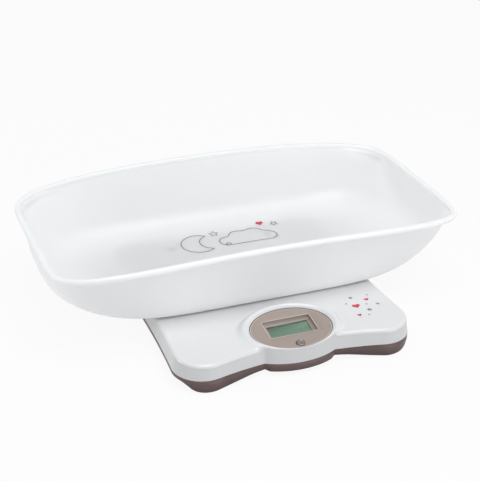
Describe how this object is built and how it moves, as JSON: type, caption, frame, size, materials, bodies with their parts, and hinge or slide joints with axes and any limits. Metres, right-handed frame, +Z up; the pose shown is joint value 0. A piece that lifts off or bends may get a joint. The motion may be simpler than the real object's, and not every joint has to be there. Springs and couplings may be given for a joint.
{
  "type": "digital baby weighing scale",
  "caption": "Low scale with lobed feet, a sloping oval display panel with a tare button, and a long lift-off bowl-shaped tray for an infant.",
  "frame": {"origin": "on the floor under the centre of the whole scale", "axes": "+X along the length of the tray, +Y from the display towards the back, +Z up"},
  "size_m": [0.5644, 0.3908, 0.138],
  "materials": {
    "tray_white": "soft satin, slightly translucent white",
    "shell_white": "glossy white",
    "skirt_taupe": "fine-grained dark taupe",
    "bezel_taupe": "satin taupe",
    "clear_lens": "clear, polished",
    "lcd_glass": "grey-green reflective display glass, blank",
    "holder_black": "black moulded",
    "contact_rubber": "layered conductive rubber",
    "board_green": "green solder mask",
    "chip_black": "moulded black",
    "capacitor_can": "bright can",
    "connector_cream": "cream nylon",
    "button_clear_grey": "silvery, glossy, dished",
    "dome_silicone": "translucent silicone",
    "foot_rubber": "black rubber",
    "inner_plastic": "plain moulded",
    "plated_steel": "plated",
    "battery_jacket": "plain coloured jacket, bare ends",
    "wire_grey": "soft sleeve",
    "wire_red": "soft sleeve",
    "wire_black": "soft sleeve"
  },
  "bodies": {
    "base": {"back_left_cell_clamp": "inner_plastic", "back_left_cell_wire": "wire_grey", "back_left_foot_plunger": "inner_plastic", "back_left_load_cell": "plated_steel", "back_left_rubber_foot": "foot_rubber", "back_right_cell_clamp": "inner_plastic", "back_right_cell_wire": "wire_grey", "back_right_foot_plunger": "inner_plastic", "back_right_load_cell": "plated_steel", "back_right_rubber_foot": "foot_rubber", "battery_1": "battery_jacket", "battery_2": "battery_jacket", "battery_3": "battery_jacket", "battery_4": "battery_jacket", "battery_contacts": "plated_steel", "battery_springs": "plated_steel", "black_battery_wire": "wire_black", "board_capacitors": "capacitor_can", "board_screws": "plated_steel", "bottom_shell": "skirt_taupe", "button_dome": "dome_silicone", "case_screws": "plated_steel", "circuit_board": "board_green", "clamp_screws": "plated_steel", "controller_chip": "chip_black", "display_bezel": "bezel_taupe", "display_lens": "clear_lens", "front_left_cell_clamp": "inner_plastic", "front_left_cell_wire": "wire_grey", "front_left_foot_plunger": "inner_plastic", "front_left_load_cell": "plated_steel", "front_left_rubber_foot": "foot_rubber", "front_right_cell_clamp": "inner_plastic", "front_right_cell_wire": "wire_grey", "front_right_foot_plunger": "inner_plastic", "front_right_load_cell": "plated_steel", "front_right_rubber_foot": "foot_rubber", "lcd_contact_strips": "contact_rubber", "lcd_holder": "holder_black", "lcd_panel": "lcd_glass", "red_battery_wire": "wire_red", "top_shell": "shell_white", "wire_connectors": "connector_cream"},
    "tray": {"tray": "tray_white"},
    "button": {"tare_button": "button_clear_grey"},
    "door": {"battery_door": "skirt_taupe"}
  },
  "joints": [
    {"name": "tray_lift", "type": "slide", "parent": "base", "child": "tray", "axis": [0, 0, 1], "range_m": [0, 0.06]},
    {"name": "tare_press", "type": "slide", "parent": "base", "child": "button", "axis": [0, 0.1392, -0.9903], "range_m": [0, 0.0012], "stiffness_N_per_m": 1500, "springref_m": -0.0002, "deforming": ["button_dome"]},
    {"name": "battery_door_slide", "type": "slide", "parent": "base", "child": "door", "axis": [0, 1, 0], "range_m": [0, 0.07]}
  ]
}
